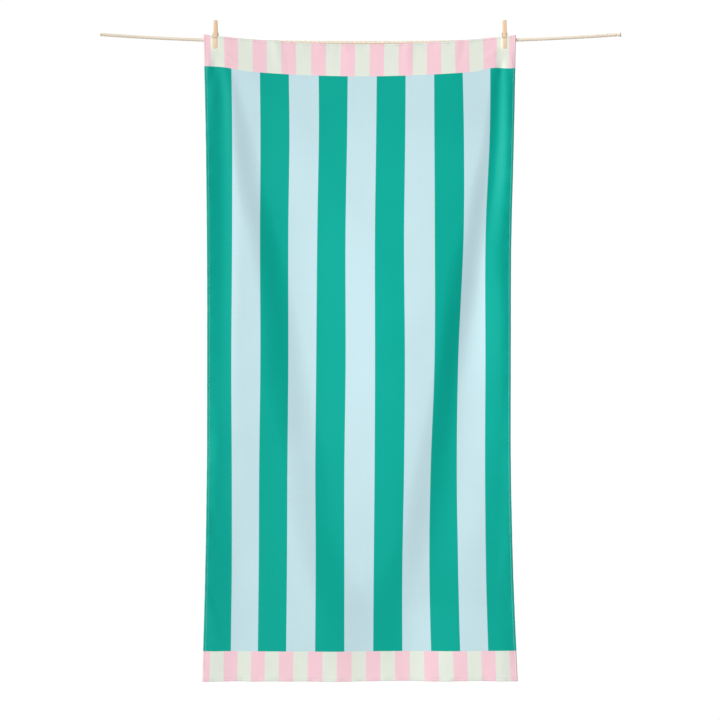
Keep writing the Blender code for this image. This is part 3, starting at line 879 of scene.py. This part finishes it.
def make_towel():
    sheet = Sheet()
    face = make_print_material()
    reverse = make_reverse_material()
    thread = make_thread_material()
    panel = make_panel(sheet, face, reverse)
    hems = [make_hem(sheet, edge, face) for edge in ("left", "right", "top", "bottom")]
    sides = {"topstitch_face": 1, "topstitch_reverse": -1}
    stitches = [make_topstitch(sheet, name, thread, side) for name, side in sides.items()]


# --- The clothesline ---


def line_height(x):
    return LINE_END_RISE * (np.abs(x) / LINE_HALF_SPAN) ** LINE_RISE_POWER


def line_path():
    """The line's centre at even steps, and the distance along it."""
    count = round(2 * LINE_HALF_SPAN / STRAND_STEP) + 1
    x = np.linspace(-LINE_HALF_SPAN, LINE_HALF_SPAN, count)
    path = np.stack((x, np.zeros(count), line_height(x)), axis=-1)
    return path, distance_along(path)


def flare(along, length):
    """How much the strands open out at the two cut ends."""
    left = END_FLARE["left"] * (1 - ease(along / END_FLARE_LENGTH))
    right = END_FLARE["right"] * (1 - ease((length - along) / END_FLARE_LENGTH))
    return 1 + left + right


def make_strands(path, along, material):
    """The strands, which wind round the line's centre and open out at its ends."""
    upright = -unit(np.cross(np.gradient(path, axis=0), (0.0, 1.0, 0.0)))
    open_out = flare(along, along[-1])
    strand, along = np.meshgrid(range(STRANDS), along, indexing="ij")
    angle = 2 * math.pi * (along / STRAND_LAY + strand / STRANDS)
    direction = np.cos(angle)[..., None] * upright + np.sin(angle)[..., None] * np.array((0.0, 1.0, 0.0))
    uneven = 1 + STRAND_UNEVEN * waves(along, strand * STRAND_LAYER_STEP, STRAND_UNEVEN_SCALE, STRAND_LAYER)
    centres = path + direction * (STRAND_OFFSET * open_out * (2 - uneven))[..., None]
    radii = STRAND_RADIUS * uneven * (1 + (open_out - 1) * END_SWELLING)
    mesh = tube_mesh("twisted_line", centres, direction, radii, STRAND_SIDES)
    return add_object("twisted_line", mesh, material, "line_fibre")


def make_line_fibres(path, along, material):
    """Loose fibres that stand out of the line, and more of them at its cut ends."""
    rng = np.random.default_rng(FIBRE_SEED)
    spread = rng.uniform(0.0, along[-1], FIBRES)
    near_left = rng.uniform(0.0, END_FIBRE_ZONE, END_FIBRES)
    near_right = along[-1] - rng.uniform(0.0, END_FIBRE_ZONE, END_FIBRES)
    start = np.concatenate((spread, near_left, near_right))
    angle = rng.uniform(0.0, 2 * math.pi, len(start))
    lengths = rng.uniform(*FIBRE_LENGTHS, len(start))
    drift = rng.choice((-1.0, 1.0), len(start)) * rng.uniform(*FIBRE_DRIFTS, len(start))
    lengths[FIBRES:] *= END_FIBRE_SHARE
    drift[FIBRES:FIBRES + END_FIBRES] = -1.0
    drift[FIBRES + END_FIBRES:] = 1.0
    base = np.stack([np.interp(start, along, path[:, k]) for k in range(3)], axis=-1)
    out = np.stack((np.zeros_like(angle), np.sin(angle), np.cos(angle)), axis=-1)
    sideways = np.stack((np.zeros_like(angle), np.cos(angle), -np.sin(angle)), axis=-1)
    shares, widths = np.array(FIBRE_POINTS).T
    size = lengths[:, None]
    away = FIBRE_ROOT + size * FIBRE_RISE * np.sin(shares * FIBRE_ARCH)
    curl = size * FIBRE_CURL * shares**2
    centres = base[:, None] + out[:, None] * away[..., None] + sideways[:, None] * curl[..., None]
    centres[..., 0] += drift[:, None] * (size * shares)
    outward = np.repeat(sideways[:, None], len(shares), axis=1)
    mesh = tube_mesh("line_fibres", centres, outward, FIBRE_RADIUS * widths, FIBRE_SIDES)
    return add_object("line_fibres", mesh, material, "line_fibre")


def make_clothesline():
    path, along = line_path()
    material = make_fibre_material()
    line = make_strands(path, along, material)
    fibres = make_line_fibres(path, along, material)
    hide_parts("clothesline")


# --- The pegs ---


def leg_outline():
    """A leg seen from its side, as (distance out from the inner face, height) pairs."""
    outer = LEG_THICKNESS
    groove = outer - CATCH_DEPTH
    low = CATCH_HEIGHT - CATCH_HALF_WIDTH
    high = CATCH_HEIGHT + CATCH_HALF_WIDTH
    return (
        (0.0, LEG_TIP + LEG_TIP_CHAMFER),
        (0.0, LEG_TAPER_START),
        (outer - LEG_TOP_THICKNESS, LEG_TOP),
        (outer, LEG_TOP),
        (outer, high),
        (groove, high),
        (groove, low),
        (outer, low),
        (outer, LEG_TIP_SLOPE_START),
        (outer - LEG_TIP_CHAMFER, LEG_TIP),
        (LEG_TIP_CHAMFER / 2, LEG_TIP),
    )


def mesh_from(name, shape):
    """A mesh that takes over a built shape."""
    mesh = bpy.data.meshes.new(name)
    shape.to_mesh(mesh)
    shape.free()
    return mesh


def leg_mesh(wood):
    """The outline, spread across the leg's width. The inner face is on the local plane y = 0."""
    shape = bmesh.new()
    corners = [shape.verts.new((-LEG_WIDTH / 2, out, height)) for out, height in leg_outline()]
    face = shape.faces.new(corners)
    spread = bmesh.ops.extrude_face_region(shape, geom=[face])
    moved = [item for item in spread["geom"] if isinstance(item, bmesh.types.BMVert)]
    bmesh.ops.translate(shape, verts=moved, vec=(LEG_WIDTH, 0.0, 0.0))
    bmesh.ops.bisect_plane(
        shape,
        geom=[*shape.verts, *shape.edges, *shape.faces],
        dist=0.00001,
        plane_co=(0.0, 0.0, LEG_TAPER_START),
        plane_no=(0.0, 0.0, 1.0),
    )
    for corner in shape.verts:
        upward = max(0.0, corner.co.z - LEG_TAPER_START) / (LEG_TOP - LEG_TAPER_START)
        corner.co.x *= 1 - upward * (1 - LEG_TOP_WIDTH / LEG_WIDTH)
    bmesh.ops.recalc_face_normals(shape, faces=shape.faces)
    mesh = mesh_from("peg_leg", shape)
    mesh.materials.append(wood)
    return mesh


def add_cutter(radius, centre):
    """A round bar along X that hollows out what it crosses."""
    shape = bmesh.new()
    bmesh.ops.create_cone(
        shape,
        cap_ends=True,
        segments=CUTTER_SIDES,
        radius1=radius,
        radius2=radius,
        depth=LEG_WIDTH * 2,
        matrix=Matrix.Rotation(math.pi / 2, 4, "Y"),
    )
    cutter = add_object("cutter", mesh_from("cutter", shape))
    cutter.location = centre
    return cutter


def front_leg_place():
    """From a leg's own axes to the peg's: the front leg's inner face lies against the cloth."""
    return Matrix.Translation((0.0, -FACE_STAND_OFF - GAP, 0.0)) @ Matrix.Rotation(math.pi, 4, "Z")


def back_leg_place():
    return Matrix.Translation((0.0, BACK_LEG_INNER, 0.0)) @ Matrix.Rotation(-BACK_LEG_TILT, 4, "X")


def coil_centre():
    """Halfway between the legs' inner faces, as (y, z) from the clothesline's centre."""
    front = front_leg_place() @ Vector((0.0, 0.0, COIL_HEIGHT))
    back = back_leg_place() @ Vector((0.0, 0.0, COIL_HEIGHT))
    return Vector(((front.y + back.y) / 2, COIL_HEIGHT))


def catch_place(leg_place):
    """Where the wire's centre lies in a leg's groove, as (y, z) from the clothesline's centre."""
    out = LEG_THICKNESS - CATCH_DEPTH + GAP + WIRE_RADIUS
    place = leg_place @ Vector((0.0, out, CATCH_HEIGHT))
    return Vector((place.y, place.z))


def upper_touch(catch, centre):
    """Where a straight wire from the catch meets the top side of the coil."""
    away = centre - catch
    length = away.length
    base = math.atan2(away.y, away.x)
    swing = math.copysign(math.asin(COIL_RADIUS / length), away.x)
    reach = math.sqrt(length**2 - COIL_RADIUS**2)
    return catch + reach * Vector((math.cos(base + swing), math.sin(base + swing)))


def rounded(points):
    """A run of points whose inner corners are bent to a small radius."""
    bent = [points[0]]
    for before, corner, after in zip(points, points[1:], points[2:]):
        start = corner + (before - corner).normalized() * BEND_RADIUS
        end = corner + (after - corner).normalized() * BEND_RADIUS
        for i in range(BEND_POINTS):
            t = i / (BEND_POINTS - 1)
            bent.append(start * (1 - t) ** 2 + corner * 2 * t * (1 - t) + end * t**2)
    bent.append(points[-1])
    return bent


def coil_points(centre, first, last):
    """The coil's turns, wound over the top from the front arm's side to the back arm's side."""
    start = math.atan2(first.y - centre.y, first.x - centre.x)
    end = math.atan2(last.y - centre.y, last.x - centre.x) - 2 * math.pi * COIL_TURNS
    count = COIL_TURNS * POINTS_PER_TURN
    points = []
    for i in range(count + 1):
        angle = start + (end - start) * i / count
        x = ARM_SIDE * (2 * i / count - 1)
        y = centre.x + COIL_RADIUS * math.cos(angle)
        z = centre.y + COIL_RADIUS * math.sin(angle)
        points.append(Vector((x, y, z)))
    return points


def spring_points():
    """One wire: across the front leg, up to the coil, round it, and down across the back leg."""
    centre = coil_centre()
    front = catch_place(front_leg_place())
    back = catch_place(back_leg_place())
    coil = coil_points(centre, upper_touch(front, centre), upper_touch(back, centre))
    front_arm = rounded([Vector((CATCH_REACH, *front)), Vector((-ARM_SIDE, *front)), coil[0]])
    back_arm = rounded([coil[-1], Vector((ARM_SIDE, *back)), Vector((-CATCH_REACH, *back))])
    return front_arm[:-1] + coil + back_arm[1:]


def make_spring(side, place, steel):
    curve = bpy.data.curves.new(f"peg_{side}_wire", "CURVE")
    curve.dimensions = "3D"
    curve.bevel_depth = WIRE_RADIUS
    curve.bevel_resolution = 4
    curve.use_fill_caps = True
    points = spring_points()
    spline = curve.splines.new("POLY")
    spline.points.add(len(points) - 1)
    for target, point in zip(spline.points, points):
        target.co = (*(place + point), 1.0)
    spring = add_object(f"peg_{side}_wire", curve, steel, "spring_steel")
    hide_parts(f"peg_{side}_spring")
    return spring


def make_leg(name, mesh, placing, cutters):
    """A leg with its rounded edges and its hollows cut, as one finished mesh in its own axes."""
    leg = add_object(name, mesh.copy())
    leg.matrix_world = placing
    bevel = leg.modifiers.new("rounded_edges", "BEVEL")
    bevel.width = LEG_EDGE_ROUND
    bevel.segments = 3
    bevel.limit_method = "ANGLE"
    for cutter in cutters:
        cut = leg.modifiers.new("hollow", "BOOLEAN")
        cut.operation = "DIFFERENCE"
        cut.object = cutter
    bpy.context.view_layer.update()
    finished = bpy.data.meshes.new_from_object(leg.evaluated_get(bpy.context.evaluated_depsgraph_get()))
    leg.modifiers.clear()
    leg.data = finished
    finished.shade_smooth()
    finished.set_sharp_from_angle(angle=SHARP_ANGLE)
    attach(leg, "root")
    return leg


def make_peg(side, mesh, steel):
    place = Vector((PEG_X[side], 0.0, float(line_height(PEG_X[side]))))
    seat = add_cutter(COIL_RADIUS + WIRE_RADIUS + GAP, place + Vector((0.0, *coil_centre())))
    channel = add_cutter(LINE_RADIUS + CHANNEL_CLEARANCE, place)
    legs = {
        "front_leg": (front_leg_place(), (seat,)),
        "back_leg": (back_leg_place(), (seat, channel)),
    }
    pieces = []
    for part, (leg_place, hollows) in legs.items():
        placing = Matrix.Translation(place) @ leg_place
        pieces.append(make_leg(f"peg_{side}_{part}_wood", mesh, placing, hollows))
        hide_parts(f"peg_{side}_{part}")
    for cutter in (seat, channel):
        bpy.data.objects.remove(cutter)
    return [*pieces, make_spring(side, place, steel)]


# --- Floor, light and camera ---

FLOOR_DROP = 0.34  # below the towel's bottom edge
FLOOR_RADIUS = 1.15
FLOOR_FADE_START = 0.35
FLOOR_SIDES = 96

# name: (place, aimed at, width, height, power in watts, whether it gives highlights)
LIGHTS = {
    "front_softbox": ((0.22, -1.8, -0.58), (0.12, 0.0, -0.62), 0.5, 1.1, 15.4, False),
    "left_softbox": ((-25.7, -15.4, 10.0), (0.0, 0.0, -0.75), 24.0, 24.0, 10680.0, True),
    "back_softbox": ((-1.4, 3.2, -0.1), (0.0, 0.0, -0.75), 1.6, 1.6, 58.0, False),
}
FILL_STRENGTH = 0.15
BACKGROUND_STRENGTH = 1.02


def make_floor():
    bpy.ops.mesh.primitive_circle_add(vertices=FLOOR_SIDES, radius=FLOOR_RADIUS, fill_type="NGON")
    floor = bpy.context.object
    floor.location.z = BOTTOM_EDGE - FLOOR_DROP
    floor.name = "floor"
    floor.data.materials.append(make_floor_material())


def make_world():
    """An even white room, which the camera sees as plain white."""
    world = bpy.data.worlds.new("studio")
    world.use_nodes = True
    bpy.context.scene.world = world
    nodes = world.node_tree.nodes
    links = world.node_tree.links
    choose = nodes.new("ShaderNodeMixShader")
    links.new(nodes.new("ShaderNodeLightPath").outputs["Is Camera Ray"], choose.inputs["Fac"])
    backgrounds = {
        1: (nodes["Background"], FILL_STRENGTH),  # lights the towel
        2: (nodes.new("ShaderNodeBackground"), BACKGROUND_STRENGTH),  # is what the camera sees
    }
    for socket, (background, strength) in backgrounds.items():
        background.inputs["Color"].default_value = WHITE
        background.inputs["Strength"].default_value = strength
        links.new(background.outputs["Background"], choose.inputs[socket])
    links.new(choose.outputs["Shader"], nodes["World Output"].inputs["Surface"])


def shine_past(light, pieces):
    """These pieces throw no shadow in the light."""
    group = bpy.data.collections.new(f"{light.name}_shines_past")
    for piece in pieces:
        group.objects.link(piece)
    for member in group.collection_objects:
        member.light_linking.link_state = "EXCLUDE"
    light.light_linking.blocker_collection = group


def make_lights(pegs):
    """The soft boxes. The pegs throw no shadow in the large one on the left."""
    for name, (place, target, width, height, power, shiny) in LIGHTS.items():
        data = bpy.data.lights.new(name, "AREA")
        data.shape = "ELLIPSE"
        data.size = width
        data.size_y = height
        data.energy = power
        light = add_object(name, data)
        light.location = place
        light.rotation_euler = (Vector(target) - Vector(place)).to_track_quat("-Z", "Y").to_euler()
        light.visible_glossy = shiny
        light.visible_camera = False
        if name == "left_softbox":
            shine_past(light, pegs)


def make_camera():
    data = bpy.data.cameras.new("camera")
    data.sensor_width = SENSOR_WIDTH
    data.lens = CAMERA_DISTANCE * SENSOR_WIDTH / PICTURE_WIDTH
    camera = add_object("camera", data)
    x, z = PICTURE_CENTRE
    camera.location = (x, -FACE_STAND_OFF - CAMERA_DISTANCE, z)
    camera.rotation_euler = (math.pi / 2, 0.0, 0.0)
    bpy.context.scene.camera = camera
    bpy.context.scene.view_settings.view_transform = "Standard"


def main():
    make_camera()
    make_clothesline()
    make_towel()
    mesh = leg_mesh(make_wood_material())
    steel = make_steel_material()
    pegs = [piece for side in PEG_X for piece in make_peg(side, mesh, steel)]
    make_floor()
    make_world()
    make_lights(pegs)


main()
